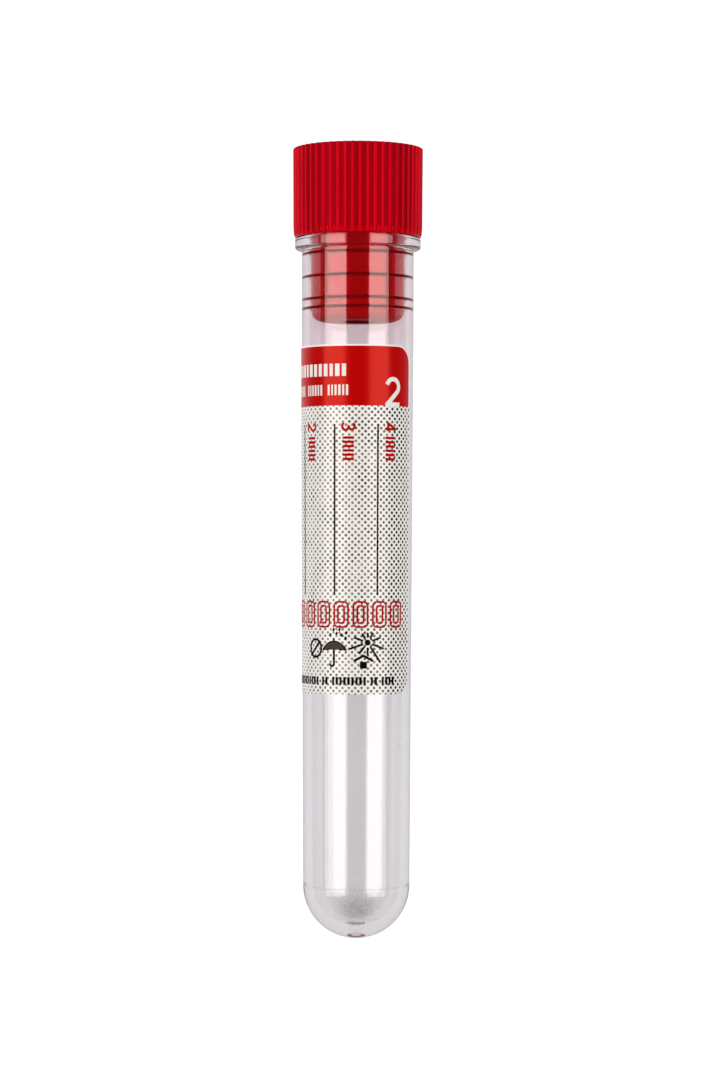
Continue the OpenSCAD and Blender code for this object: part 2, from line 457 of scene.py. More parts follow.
# (height above the rim, step in, share of the rib's height) for each ring of the lower bevel
LIP_RINGS = ((0.1, 0.20, 1), (0.18, 0.17, 0.8), (0.27, 0.14, 0.4), (0.36, 0.11, 0.12),
             (0.5, 0.08, 0), (0.8, 0.045, 0), (1.15, 0.015, 0), (1.5, 0, 0))
TOP_BEVEL = 0.2
UNDER_HEAD_ROUND = 0.15
HOLLOW_EDGE = 0.2
HEAD_FILLET = 0.3
PLUG_FILLET = 0.4
RIB_COUNT = 52
RIB_W = 0.7
RIB_ROUND = 0.22
RIB_OUT = 0.3
GROOVE_R = HEAD_TOP_R - RIB_OUT
PLUG_R = 6.7
PLUG_WALL = 1.2
PLUG_FLOOR = 1.3
HEAD_WALL = 1.4
NOSE_H = 1.5
NOSE_IN = 1.2
NOSE_ROUND = 0.3
NOSE_WIDEN = 0.1
NOSE_LIFT = 0.35
NOSE_DEEPEN = 0.25
RECESS_R = 2.6
RECESS_DEPTH = 0.8
FIN_DEPTHS = (2.4, 5.7, 8.9, 10.2)
FIN_T = 0.3
FIN_EDGE_H = 0.38
FIN_GAP = 0.02
RIB_PITCH = 2 * math.pi / RIB_COUNT
RIB_PHASE = 1.4
FIRST_RIB = math.radians(90 - RIB_PHASE)
# The round crest ends, and the straight flank starts, this far from the rib's middle and this high
CREST_EDGE = 0.155
FLANK_TOP = 1 - (RIB_ROUND - math.sqrt(RIB_ROUND**2 - CREST_EDGE**2)) / RIB_OUT
# How sharply the foot of a rib's flank turns into the groove
FOOT_BEND = 14


def rib_height(angle):
    """How high a rib stands at this angle, from 0 on the groove's floor to 1 on the crest."""
    turn = (angle - FIRST_RIB) / RIB_PITCH
    off = abs(turn - math.floor(turn) - 0.5) * RIB_PITCH * GROOVE_R
    if off < CREST_EDGE:
        return 1 - (RIB_ROUND - math.sqrt(RIB_ROUND**2 - off**2)) / RIB_OUT
    flank = FLANK_TOP * (RIB_W / 2 - off) / (RIB_W / 2 - CREST_EDGE)
    return math.log1p(math.exp(flank * FOOT_BEND)) / FOOT_BEND


# %% The stopper's section, with each ring's share of the ribs
def fin(depth):
    """One sealing fin, from its lower root round its edge to its upper root."""
    z = RIM_Z - depth
    tip_r = bore_r(z) - FIN_GAP
    half = FIN_EDGE_H / 2
    return [(PLUG_R, z - FIN_T), (PLUG_R + 0.1, z - FIN_T * 0.72), (tip_r - 0.04, z - half - 0.03),
            (tip_r, z - half), (tip_r, z), (tip_r, z + half), (tip_r - 0.04, z + half + 0.03),
            (PLUG_R + 0.1, z + FIN_T * 0.72), (PLUG_R, z + FIN_T)]


def stopper_section():
    """(radius, height, share of the rib's height) for each ring."""
    plug_bore_r = PLUG_R - PLUG_WALL
    head_bore_r = HEAD_TOP_R - RIB_OUT - HEAD_WALL
    recess_z = PLUG_END_Z + RECESS_DEPTH
    plain = [(0, recess_z), (RECESS_R - RECESS_DEPTH, recess_z), (RECESS_R, PLUG_END_Z)]
    plain += arc(PLUG_R - NOSE_IN - NOSE_ROUND, PLUG_END_Z + NOSE_ROUND, NOSE_ROUND, -90, -50, 4)
    nose_r, nose_z = PLUG_R - NOSE_IN - NOSE_WIDEN, PLUG_END_Z + NOSE_H + NOSE_LIFT
    plain += oval(nose_r, nose_z, NOSE_IN + NOSE_WIDEN, NOSE_H + NOSE_DEEPEN, -72, 0, 6)
    for depth in sorted(FIN_DEPTHS, reverse=True):
        plain += fin(depth)
    plain += arc(PLUG_R + UNDER_HEAD_ROUND, RIM_Z - UNDER_HEAD_ROUND, UNDER_HEAD_ROUND, 180, 90, 4)
    plain += [(HEAD_LOW_R - LIP_IN - 0.05, RIM_Z), (HEAD_LOW_R - LIP_IN + 0.01, RIM_Z + 0.03)]
    held = [(r, z, 1) for r, z in hold_edges(plain)]
    held += [(HEAD_LOW_R - inset, RIM_Z + rise, share) for rise, inset, share in LIP_RINGS]
    lip_end = RIM_Z + LIP_RINGS[-1][0]
    for share in (0.03, 0.25, 0.5, 0.75, 0.985):
        z = lip_end + (HEAD_TOP_Z - TOP_BEVEL - lip_end) * share
        held.append((HEAD_LOW_R + (HEAD_TOP_R - HEAD_LOW_R) * share, z, 0))
    top_edge = arc(HEAD_TOP_R - TOP_BEVEL, HEAD_TOP_Z - TOP_BEVEL, TOP_BEVEL, 0, 90, 5)
    held += [(r, z, i / 5 * 0.3) for i, (r, z) in enumerate(top_edge)]
    held.append((HEAD_TOP_R - RIB_OUT - 0.2, HEAD_TOP_Z, 1))
    hollow = arc(head_bore_r + HOLLOW_EDGE, HEAD_TOP_Z - HOLLOW_EDGE, HOLLOW_EDGE, 90, 180, 5)
    hollow += arc(head_bore_r - HEAD_FILLET, RIM_Z + HEAD_WALL + HEAD_FILLET, HEAD_FILLET, 0, -90, 5)
    hollow += arc(plug_bore_r + HOLLOW_EDGE, RIM_Z + HEAD_WALL - HOLLOW_EDGE, HOLLOW_EDGE, 90, 180, 4)
    hollow += arc(plug_bore_r - PLUG_FILLET, PLUG_END_Z + PLUG_FLOOR + PLUG_FILLET, PLUG_FILLET, 0, -90, 5)
    hollow += [(0, PLUG_END_Z + PLUG_FLOOR)]
    return held + [(r, z, 1) for r, z in hold_edges(hollow)]


# %% [markdown]
# Polyethylene from a mould has a satin skin. Its gloss changes a little from place to place, and the mould's
# own finish leaves a grain too fine to see as relief, so noise drives the roughness and a shallow bump. The
# grooves, the plug's end and the recess in it are duller. The grooves and the recess are also painted darker,
# as painted shade.

# %% Red polyethylene
DEEP_RED = (0.43, 0.0002, 0.0008)
BRIGHT_RED = (0.48, 0.0003, 0.001)
# Painted shade in the grooves of the head
GROOVE_SHADE_RED = (0.25, 0.0001, 0.002)
# Painted shade in the recess of the plug's end, nearly black
RECESS_SHADE_RED = (0.02, 0.0, 0.001)


def red_polyethylene():
    finish = Finish("red_polyethylene", IOR=2.3, Specular_Tint=(1, 0.0, 0.035))
    place = finish.place()
    x, y, z = finish.split(place)
    radius = (x * x + y * y).root()
    cloud = finish.noise(place, 0.25)
    grain = finish.noise(place, 9, 3)
    # How far round the head the point is from the nearest crest
    off = (((y.angle_to(x) - FIRST_RIB) / RIB_PITCH).fraction() - 0.5).size() * (RIB_PITCH * GROOVE_R)
    groove = off.between(0.14, 0.30) * (radius > GROOVE_R - 0.1) * z.between(RIM_Z + 0.2, RIM_Z + 0.5)
    red = finish.mix(cloud, DEEP_RED, BRIGHT_RED)
    # Painted shade in the grooves
    red = finish.mix(groove, red, GROOVE_SHADE_RED)
    nose = 1 - z.between(PLUG_END_Z + 0.5, PLUG_END_Z + 1.6)
    recess = (radius < RECESS_R + 0.02) * (z < PLUG_END_Z + RECESS_DEPTH + 0.02)
    satin = 0.09 + 0.08 * grain + 0.03 * cloud
    # The recess gets painted shade, nearly black
    finish.set(Base_Color=finish.mix(recess, red, RECESS_SHADE_RED),
               Roughness=satin + 0.45 * groove + 0.4 * recess + 0.5 * nose)
    finish.bump(grain, 0.008)
    return finish


# %% Make the stopper
# Distances from a rib's middle at which the head gets a column of points
RIB_COLUMNS = (0.42, 0.37, 0.33, 0.28, 0.21, CREST_EDGE, 0.11, 0.055, 0)


def rib_turn():
    """Angles round the head, set closer where a rib's flank is steep."""
    pitch = RIB_PITCH * GROOVE_R
    shares = [0] + [0.5 - off / pitch for off in RIB_COLUMNS]
    shares += [1 - s for s in shares[-2:0:-1]]
    return [FIRST_RIB + (i + s) * RIB_PITCH for i in range(RIB_COUNT) for s in shares]


rings = stopper_section()


def stopper_radius(row, angle):
    radius, _, share = rings[row]
    return radius - (1 - share) * RIB_OUT * (1 - rib_height(angle))


stopper_moulding = turned("stopper_moulding", [ring[:2] for ring in rings], rib_turn(), stopper_radius)
dress(stopper_moulding, red_polyethylene(), "stopper", "red_moulding", "stopper")

# %% [markdown]
# Where a fin presses on the bore there is no air between the two, so nothing glints there and the fin shows
# through the wall as a plain dark line. Each edge is a thin ring that reaches a hair into the wall, with a
# finish that has no gloss. Its dark red, much darker than the stopper's own, is painted shade.

# %% The fins' pressed edges
EDGE_SEGMENTS = 192
EDGE_BITE = 0.012
EDGE_BACK = 0.05
# Painted shade: the fins' pressed edges get dark streaked reds
EDGE_SHADE_DARK = (0.13, 0.0, 0.0)
EDGE_SHADE_RED = (0.23, 0.0, 0.001)


def pressed_edges():
    points, faces = [], []
    for depth in FIN_DEPTHS:
        z = RIM_Z - depth
        outer, inner, half = bore_r(z) + EDGE_BITE, bore_r(z) - EDGE_BACK, FIN_EDGE_H / 2
        section = ((inner, z - half * 0.8), (outer, z - half), (outer, z + half), (inner, z + half * 0.8))
        first = len(points)
        for turn in even_turn(EDGE_SEGMENTS):
            points += [round_axis(radius, turn, height) for radius, height in section]
        for i in range(EDGE_SEGMENTS):
            faces += side_faces(first + 4 * i, first + 4 * ((i + 1) % EDGE_SEGMENTS), 4)
    return new_piece("fin_edges", points, faces)


# The fin edges' finish paints shade
fin_edge_shade = streaked("fin_edge_shade", EDGE_SHADE_DARK, EDGE_SHADE_RED, 1.5, Roughness=0.9,
                                Specular_IOR_Level=0.0)
dress(pressed_edges(), fin_edge_shade, "stopper", "red_moulding")

# %% [markdown]
# ## The label
#
# The label is one sheet of paper. It is easiest to draw flat: x runs to the right round the tube from the line
# that faces up, and z runs up the axis. wrap() bends a flat point on to the wall at a small lift above it. Every
# print on the label is drawn flat as well, as thin as ink, and bent on by the same function. The upper edge has
# its height from the tube's sizes, and the rest of the sheet is measured down from it.

# %% Sizes of the label
LABEL_H = 49.3
LABEL_LOW_Z = LABEL_TOP_Z - LABEL_H
LABEL_W = 40.0
LABEL_T = 0.1
LABEL_CORNER = 2.8
INK_T = 0.02
FACE_R = outer_r((LABEL_TOP_Z + LABEL_LOW_Z) / 2) + LABEL_T
LABEL_EDGE_TURN = math.radians(66)
LABEL_RIGHT = LABEL_EDGE_TURN * FACE_R
LABEL_LEFT = LABEL_RIGHT - LABEL_W
GLUE_T = 0.01


def wrap(x, z, lift):
    """A flat point of the label as a point on the tube, lift millimetres off the wall."""
    angle = x / FACE_R
    r = outer_r(z) + lift
    return (r * math.sin(angle), -r * math.cos(angle), z)


def wrapped(name, flat_points, flat_faces, low, high, rises=None):
    """A thin closed sheet on the tube from flat faces that run anticlockwise, between two lifts.

    rises, one for each point, lift the outer face further.
    """
    count = len(flat_points)
    rises = rises or [0] * count
    points = [wrap(x, z, high + rise) for (x, z), rise in zip(flat_points, rises)]
    points += [wrap(x, z, low) for x, z in flat_points]
    faces = [tuple(face) for face in flat_faces]
    edges = {(a, b) for face in flat_faces for a, b in zip(face, face[1:] + face[:1])}
    faces += [tuple(i + count for i in reversed(face)) for face in flat_faces]
    faces += [(a, a + count, b + count, b) for a, b in sorted(edges) if (b, a) not in edges]
    return new_piece(name, points, faces)


def spread(left, right, count):
    """Places that cut the way from left to right into count equal columns."""
    return [left + (right - left) * i / count for i in range(count + 1)]


def column_faces(count):
    """Faces of count columns, whose points come in pairs, the low one first."""
    return [[2 * i, 2 * i + 2, 2 * i + 3, 2 * i + 1] for i in range(count)]


SHEET_STEP = 0.15
# Shares of a corner's radius at which it gets a column, closer where it is steep
CORNER_SHARES = (0, 0.01, 0.04, 0.09, 0.16, 0.25, 0.36, 0.5, 0.66, 0.83)


def rounded_sheet(left, right, low_z, high_z, top_corner, low_corner):
    """Flat points and faces of a sheet with round corners, in columns narrow enough to bend."""
    even = spread(left, right, round((right - left) / SHEET_STEP))
    biggest = max(top_corner, low_corner)
    ends = [biggest * share for share in CORNER_SHARES]
    xs = sorted([left + e for e in ends] + [right - e for e in ends]
                + [x for x in even if left + biggest <= x <= right - biggest])
    points = []
    for x in xs:
        inset = min(x - left, right - x)
        drops = [c - math.sqrt(max(c * c - max(c - inset, 0) ** 2, 0))
                 for c in (low_corner, top_corner)]
        points += [(x, low_z + drops[0]), (x, high_z - drops[1])]
    return points, column_faces(len(xs) - 1)


# %% [markdown]
# The paper carries a security tint: a fine screen of grey dots. Dots this small are drawn by the shader. The
# sheet's UV map lays the outer face out flat, so the two coordinates are the real place on the paper, and the
# plain back of the sheet is tucked into a narrow strip above it.

# %% Printed paper
DOT_PITCH = 0.914
DOT_R = 0.19
DOT_EDGE = 0.035
BACK_STRIP = 0.97
HEADER_H = 8.65
HEADER_LOW_Z = LABEL_TOP_Z - HEADER_H
PALE_DOT = (0.26, 0.235, 0.215)
DARK_DOT = (0.012, 0.011, 0.011)
DULL_PAPER = (0.82, 0.82, 0.82)
CLEAN_PAPER = (0.90, 0.90, 0.90)


def dotted_paper():
    finish = Finish("dotted_paper", IOR=1.6)
    flat = finish.add("ShaderNodeUVMap", {"uv_map": "OFBake"}, {})
    u, v, _ = finish.split(flat)
    x = u * LABEL_W
    z = v * (LABEL_H / BACK_STRIP)
    along = ((x + z) / DOT_PITCH).fraction() - 0.5
    across = ((x - z) / DOT_PITCH).fraction() - 0.5
    off = (along * along + across * across).root() * (DOT_PITCH / math.sqrt(2))
    place = finish.place()
    cloud = finish.noise(place, 0.35, 3)
    speck = finish.noise(place, 2.3, 2)
    # The screen is printed heavier towards the label's right edge
    heavy = u.between(0.74, 0.94)
    radius = DOT_R + 0.05 * (cloud - 0.5) + 0.06 * (speck - 0.5) + 0.015 * heavy
    dotted_end = BACK_STRIP * (HEADER_LOW_Z - LABEL_LOW_Z) / LABEL_H
    dot = (1 - (off - radius).between(-DOT_EDGE, DOT_EDGE)) * (v < dotted_end)
    fibre = finish.noise(place, 6, 4)
    strength = (0.6 * cloud + 0.4 * speck + 0.25 * heavy).between(0.40, 0.72)
    dot_ink = finish.mix(strength, PALE_DOT, DARK_DOT)
    paper = finish.mix(fibre, DULL_PAPER, CLEAN_PAPER)
    finish.set(Base_Color=finish.mix(dot, paper, dot_ink), Roughness=0.22 + 0.10 * fibre)
    finish.bump(fibre, 0.01)
    return finish


# %% Make the label's sheet
STRIP_GAP = 0.005
STRIP_SHARE = 0.02


def lay_flat(piece, flat_points, outer_count):
    """Gives the sheet its UV map: the outer faces, which come first, lie flat and large."""
    layer = piece.data.uv_layers.new(name="OFBake")
    for loop in piece.data.loops:
        x, z = flat_points[loop.vertex_index % len(flat_points)]
        u, v = (x - LABEL_LEFT) / LABEL_W, (z - LABEL_LOW_Z) / LABEL_H
        layer.data[loop.index].uv = (u, v * BACK_STRIP)
    for face in piece.data.polygons[outer_count:]:
        for i in face.loop_indices:
            u, v = layer.data[i].uv
            layer.data[i].uv = (u, BACK_STRIP + STRIP_GAP + v * STRIP_SHARE)


label_points, label_faces = rounded_sheet(LABEL_LEFT, LABEL_RIGHT, LABEL_LOW_Z, LABEL_TOP_Z,
                                          LABEL_CORNER, LABEL_CORNER)
label_paper = wrapped("label_paper", label_points, label_faces, GLUE_T, LABEL_T)
lay_flat(label_paper, label_points, len(label_faces))
dress(label_paper, dotted_paper(), "tube", "label_paper", "label")

# %% [markdown]
# ## Print
#
# Strokes and filled shapes make up all the print. A stroke is a line of flat points with a width. Shapes are
# kept in one list for each colour, and each list becomes one piece. Where shapes of one colour cross, each is
# lifted a hair above the one before, so that no two faces share a plane. The lifts start again after a few
# shapes, because only near neighbours cross.

# %% Drawing flat shapes
RISE = 0.0015
RISE_COUNT = 8
SHARP_TURN = math.radians(50)
BAR_STEP = 0.4
STROKE_STEP = 0.25
DISC_STEPS = 20


class Print:
    """The shapes of one colour, gathered until make() bends them on to the label."""

    def __init__(self):
        self.points = []
        self.faces = []
        self.rises = []
        self.count = 0

    def fill(self, points, faces):
        first = len(self.points)
        self.points += points
        self.rises += [RISE * (self.count % RISE_COUNT)] * len(points)
        self.count += 1
        self.faces += [[first + i for i in face] for face in faces]

    def bar(self, left, right, low_z, high_z):
        """A filled upright rectangle, in columns narrow enough to bend."""
        count = max(1, math.ceil((right - left) / BAR_STEP))
        points = [(x, z) for x in spread(left, right, count) for z in (low_z, high_z)]
        self.fill(points, column_faces(count))

    def stroke(self, line, width, closed=False):
        """A line of even width through flat points, in steps short enough to bend.

        A sharp corner would fold the line over itself, so a new line starts there, with a disc on the joint.
        """
        for i in range(1, len(line) - 1):
            (x0, z0), (x1, z1), (x2, z2) = line[i - 1:i + 2]
            turn = math.atan2(z2 - z1, x2 - x1) - math.atan2(z1 - z0, x1 - x0)
            if not closed and abs(math.remainder(turn, 2 * math.pi)) > SHARP_TURN:
                self.stroke(line[:i + 1], width)
                self.disc(x1, z1, width / 2)
                self.stroke(line[i:], width)
                return
        ends = line[1:] + line[:1] if closed else line[1:]
        fine = []
        for (x0, z0), (x1, z1) in zip(line, ends):
            steps = max(1, math.ceil(abs(x1 - x0) / STROKE_STEP))
            fine += [(x0 + (x1 - x0) * k / steps, z0 + (z1 - z0) * k / steps) for k in range(steps)]
        line = fine if closed else fine + [line[-1]]
        count = len(line)
        points = []
        for i, (x, z) in enumerate(line):
            before = line[(i - 1) % count] if closed or i else line[i]
            after = line[(i + 1) % count] if closed or i < count - 1 else line[i]
            dx, dz = after[0] - before[0], after[1] - before[1]
            length = math.hypot(dx, dz)
            nx, nz = -dz / length * width / 2, dx / length * width / 2
            points += [(x + nx, z + nz), (x - nx, z - nz)]
        spans = count if closed else count - 1
        self.fill(points, [[2 * i + 1, (2 * i + 3) % (2 * count), (2 * i + 2) % (2 * count), 2 * i]
                           for i in range(spans)])

    def disc(self, x, z, radius):
        rim = arc(x, z, radius, 0, 360, DISC_STEPS)[:-1]
        self.fill([(x, z)] + rim, [[0, 1 + i, 1 + (i + 1) % DISC_STEPS] for i in range(DISC_STEPS)])

    def make(self, name, lift):
        return wrapped(name, self.points, self.faces, lift, lift + INK_T, self.rises)


def box_line(left, right, low_z, high_z, radius):
    """A closed line round a box with round corners."""
    corners = ((right - radius, high_z - radius, 0), (left + radius, high_z - radius, 90),
               (left + radius, low_z + radius, 180), (right - radius, low_z + radius, 270))
    return [point for x, z, start in corners for point in arc(x, z, radius, start, start + 90, 5)]


# %% [markdown]
# Ink is thin and takes the paper's own texture. The red field has a varnish that shines softly where the lamps
# stand. Thin red lines are printed deeper and with less varnish, so that they stay dark on the paper, and the
# black has hardly any. One function makes each colour.

# %% Inks
RED_SHEEN = (1, 0.12, 0.08)


def colourless_ink(name, gloss, **values):
    """An ink that has no colour yet, and how thickly it covers from place to place."""
    finish = Finish(name, **values)
    coverage = finish.noise(finish.place(), 5, 3)
    finish.set(Roughness=gloss + 0.12 * coverage)
    finish.bump(coverage, 0.004)
    return finish, coverage


def ink(name, colour, thin, gloss, **values):
    finish, coverage = colourless_ink(name, gloss, **values)
    finish.set(Base_Color=finish.mix(coverage, thin, colour))
    return finish


BLACK_GLOSS = {"gloss": 0.5, "IOR": 1.3, "Specular_IOR_Level": 0.12}
red_ink = ink("red_ink", (0.46, 0.0002, 0.001), (0.52, 0.001, 0.002), 0.16, IOR=1.8, Specular_Tint=RED_SHEEN)
deep_red_ink = ink("deep_red_ink", (0.36, 0.0002, 0.0005), (0.42, 0.0005, 0.001), 0.3, IOR=1.4,
                   Specular_Tint=RED_SHEEN, Specular_IOR_Level=0.3)
black_ink = ink("black_ink", (0.0005, 0.0005, 0.0005), (0.002, 0.002, 0.002), **BLACK_GLOSS)
white_ink = ink("white_ink", (0.86, 0.85, 0.84), (0.80, 0.78, 0.77), 0.30, IOR=1.5)

# %% The red field
BORDER = 0.25
field_points, field_faces = rounded_sheet(LABEL_LEFT + BORDER, LABEL_RIGHT - BORDER, HEADER_LOW_Z,
                                          LABEL_TOP_Z - BORDER, LABEL_CORNER - BORDER, 0)
header_field = wrapped("header_field", field_points, field_faces, LABEL_T, LABEL_T + INK_T)
dress(header_field, red_ink, "tube", "red_print", "label_header")

# %% Sizes of the boxes and the rules
BOX_LOW_Z = LABEL_LOW_Z + 9.35
BOX_W = 2.3
BOX_H = 3.8
BOX_PITCH = 2.8
BOX_COUNT = 7
BOX_ROUND = 0.65
BOX_LINE = 0.27
# From the middle of a box's outer line to that of its inner line
BOX_GAP = 0.56
BOXES_RIGHT = LABEL_RIGHT - 1.9

RULE_W = 0.24
RULE_TOP_Z = HEADER_LOW_Z - 2.6
RULE_LOW_Z = BOX_LOW_Z + BOX_H + 0.8
RULE_PITCH = 6.2
FIRST_RULE = 6.1
RULE_RIGHTS = [LABEL_RIGHT - FIRST_RULE - i * RULE_PITCH for i in range(4)]

# %% The write-in rules
rules = Print()
for x in RULE_RIGHTS:
    rules.bar(x - RULE_W, x, RULE_LOW_Z, RULE_TOP_Z)
dress(rules.make("write_in_rules", LABEL_T), black_ink, "tube", "black_print", "label_rules")

# %% The outlined boxes
boxes = Print()
for i in range(BOX_COUNT):
    right = BOXES_RIGHT - i * BOX_PITCH
    for inset in (BOX_LINE / 2, BOX_LINE / 2 + BOX_GAP):
        line = box_line(right - BOX_W + inset, right - inset, BOX_LOW_Z + inset, BOX_LOW_Z + BOX_H - inset,
                        BOX_ROUND - inset / 2)
        boxes.stroke(line, BOX_LINE, closed=True)
dress(boxes.make("outlined_boxes", LABEL_T), deep_red_ink, "tube", "red_print", "label_boxes")

# %% [markdown]
# ## Numbers, marks and stand-ins for words
#
# The plain numbers are built from strokes, so they need no font. Where a real label has words, short blocks
# keep the weight and the rhythm of a printed line without spelling anything. The marks in the row below the
# boxes are the usual simple shapes for handling: a ring, an umbrella and a sun over a roof.

# %% Numbers
# Each is one line through (along, up) points, where 1 is the number's height
NUMBERS = {
    1: [(0.08, 0.76), (0.34, 0.95), (0.34, 0.0)],
    2: oval(0.3, 0.68, 0.26, 0.27, 165, -35, 12) + [(0.05, 0.05), (0.6, 0.05)],
    3: oval(0.27, 0.73, 0.25, 0.22, 150, -90, 12) + oval(0.27, 0.27, 0.29, 0.24, 90, -150, 12)[1:],
    4: [(0.46, 0.0), (0.46, 0.95), (0.02, 0.28), (0.62, 0.28)],
}


def draw_number(shapes, number, x, z, height, width, down=False):
    """Draws a number from its lower left corner. With down=True it reads down, with its top to the right."""
    steps = [(along * height, up * height) for along, up in NUMBERS[number]]
    if down:
        shapes.stroke([(x + up, z - along) for along, up in steps], width)
    else:
        shapes.stroke([(x + along, z + up) for along, up in steps], width)


# %% Blocks in place of words
LINES_LEFT = -15


def blocks(shapes, right, low_z, high_z, widths, gap):
    """A printed line without words: blocks of the given widths in turn, from its right end leftwards.

    A negative width leaves a space of that size, as between two words.
    """
    x = right
    for width in itertools.cycle(widths):
        if x - width <= LINES_LEFT:
            break
        if width > 0:
            shapes.bar(x - width, x, low_z, high_z)
        x -= abs(width) + gap


# %% The white print on the red field
BIG_BLOCKS = (0.6, 0.66, 0.5, 0.62, 0.56)
SMALL_BLOCKS = (0.32, 0.26, 0.34, 0.3, 0.24, 0.32, -0.45)

white_print = Print()
blocks(white_print, right=-1.6, low_z=79.85, high_z=81.6, widths=BIG_BLOCKS, gap=0.34)
blocks(white_print, right=-1.3, low_z=77.15, high_z=78.65, widths=SMALL_BLOCKS, gap=0.25)
draw_number(white_print, 2, x=4.15, z=HEADER_LOW_Z, height=4.0, width=0.62)
dress(white_print.make("header_print", LABEL_T + INK_T), white_ink, "tube", "label_paper")

# %% The red number beside each rule
NUMBER_TOP_Z = RULE_TOP_Z + 0.2
NUMBER_OFF = 0.95
NUMBER_H = 1.9
NUMBER_LINE = 0.34
BARS = 6
BARS_DROP = 1.95
BAR_PITCH = 0.6
BAR_H = 0.36
BAR_LEFT = 0.12
BAR_RIGHT = 1.72

field_numbers = Print()
for i, x in enumerate(RULE_RIGHTS):
    left = x + NUMBER_OFF
    draw_number(field_numbers, 4 - i, left, NUMBER_TOP_Z, NUMBER_H, NUMBER_LINE, down=True)
    for k in range(BARS):
        high_z = NUMBER_TOP_Z - BARS_DROP - k * BAR_PITCH
        field_numbers.bar(left + BAR_LEFT, left + BAR_RIGHT, high_z - BAR_H, high_z)
dress(field_numbers.make("field_numbers", LABEL_T), deep_red_ink, "tube", "red_print")

# %% The struck ring
MARK_Z = 41.6
RING_LINE = 0.32
BOLD_LINE = 0.34

marks = Print()
marks.stroke(oval(-6.6, MARK_Z - 0.1, 1.1, 1.25, 0, 360, 28)[:-1], RING_LINE, closed=True)
marks.stroke([(-7.35, MARK_Z - 0.95), (-5.85, MARK_Z + 0.75)], BOLD_LINE)

# %% The umbrella in the rain
UMBRELLA_X = -3.35
CANOPY_R = 1.95
CANOPY_H = 1.45
CANOPY_STEPS = 24
SCALLOP_H = 0.26
RIM_LOW_Z = MARK_Z - 0.45
HOOK_R = 0.32
HOOK_H = 0.38
HOOK_Z = MARK_Z - 2.2
TIP_LINE = 0.26
HANDLE_LINE = 0.31
RAIN_LINE = 0.31
# Where each drop starts, from the umbrella's middle, and how far it slants
RAIN_DROPS = ((-0.7, 1.6), (0.3, 1.8), (1.0, 1.6), (0.75, 2.35), (1.6, 1.15), (1.75, 1.9), (-0.15, 2.35))
SLANT_X = 0.2
SLANT_Z = 0.42

canopy = [(UMBRELLA_X + CANOPY_R * i / CANOPY_STEPS, i / CANOPY_STEPS)
          for i in range(-CANOPY_STEPS, CANOPY_STEPS + 1)]
top = [(x, RIM_LOW_Z + CANOPY_H * (1 - share * share) ** 0.7) for x, share in canopy]
scallops = [(x, RIM_LOW_Z + SCALLOP_H * abs(math.sin(2 * math.pi * share)) * (1 - share * share))
            for x, share in canopy]
across = len(canopy)
marks.fill(scallops + top, [[i, i + 1, i + across + 1, i + across] for i in range(across - 1)])
marks.stroke([(UMBRELLA_X, MARK_Z + 0.9), (UMBRELLA_X, MARK_Z + 1.35)], TIP_LINE)
marks.stroke([(UMBRELLA_X, RIM_LOW_Z + 0.1), (UMBRELLA_X, HOOK_Z)]
             + oval(UMBRELLA_X - HOOK_R, HOOK_Z, HOOK_R, HOOK_H, 0, -180, 8)[1:], HANDLE_LINE)
for dx, dz in RAIN_DROPS:
    marks.stroke([(UMBRELLA_X + dx, MARK_Z + dz), (UMBRELLA_X + dx + SLANT_X, MARK_Z + dz + SLANT_Z)], RAIN_LINE)

# %% The sun over a roof
SUN_X = 1.55
SUN_Z = MARK_Z + 0.75
SUN_R = 0.42
RAY_START = 0.7
RAY_LINE = 0.29
# (degrees from the right, distance of the ray's end from the sun's middle)
SUN_RAYS = ((90, 1.4), (59, 1.6), (122, 1.5), (20, 2.05), (160, 2.1), (-20, 2.6), (199, 2.8), (232, 2.0),
            (270, 1.8), (-56, 3.3))
ROOF_Z = MARK_Z - 1.75

marks.disc(SUN_X, SUN_Z, SUN_R)
for degrees, ray_end in SUN_RAYS:
    turn = math.radians(degrees)
    marks.stroke([(SUN_X + r * math.cos(turn), SUN_Z + r * math.sin(turn)) for r in (RAY_START, ray_end)], RAY_LINE)
marks.stroke([(SUN_X - 2.0, ROOF_Z - 0.1), (SUN_X - 0.6, ROOF_Z + 0.65), (SUN_X + 0.8, ROOF_Z - 0.1)], BOLD_LINE)
marks.bar(SUN_X - 1.1, SUN_X - 0.1, ROOF_Z - 1.15, ROOF_Z - 0.2)

# %% The small line at the foot
FOOT_BLOCKS = (0.36, 0.32, 0.38, 0.34, -0.3, 0.38, 0.32, -0.3, 0.34, 0.38, 0.32, 0.36, 0.38)
blocks(marks, right=5.75, low_z=36.4, high_z=37.5, widths=FOOT_BLOCKS, gap=0.22)

# %% [markdown]
# The umbrella's canopy is the largest black shape. The marks have an ink of their own, with the same gloss as the
# rules', but greyer inside the canopy.

# %% The marks' ink
SOLID_BLACK = (0.001, 0.001, 0.001)
CANOPY_GREY = (0.052, 0.043, 0.038)
CORE_Z = RIM_LOW_Z + 0.25


def marks_ink():
    finish, _ = colourless_ink("marks_ink", **BLACK_GLOSS)
    x, _, z = finish.split(finish.place())
    middle_x, _, middle_z = wrap(UMBRELLA_X, CORE_Z, LABEL_T)
    across, up = (x - middle_x) / CANOPY_R, (z - middle_z) / CANOPY_H
    core = 1 - (across * across + up * up).root().between(0.62, 0.78)
    core = core * (z > CORE_Z)
    finish.set(Base_Color=finish.mix(core, SOLID_BLACK, CANOPY_GREY))
    return finish


dress(marks.make("handling_marks", LABEL_T), marks_ink(), "tube", "black_print")

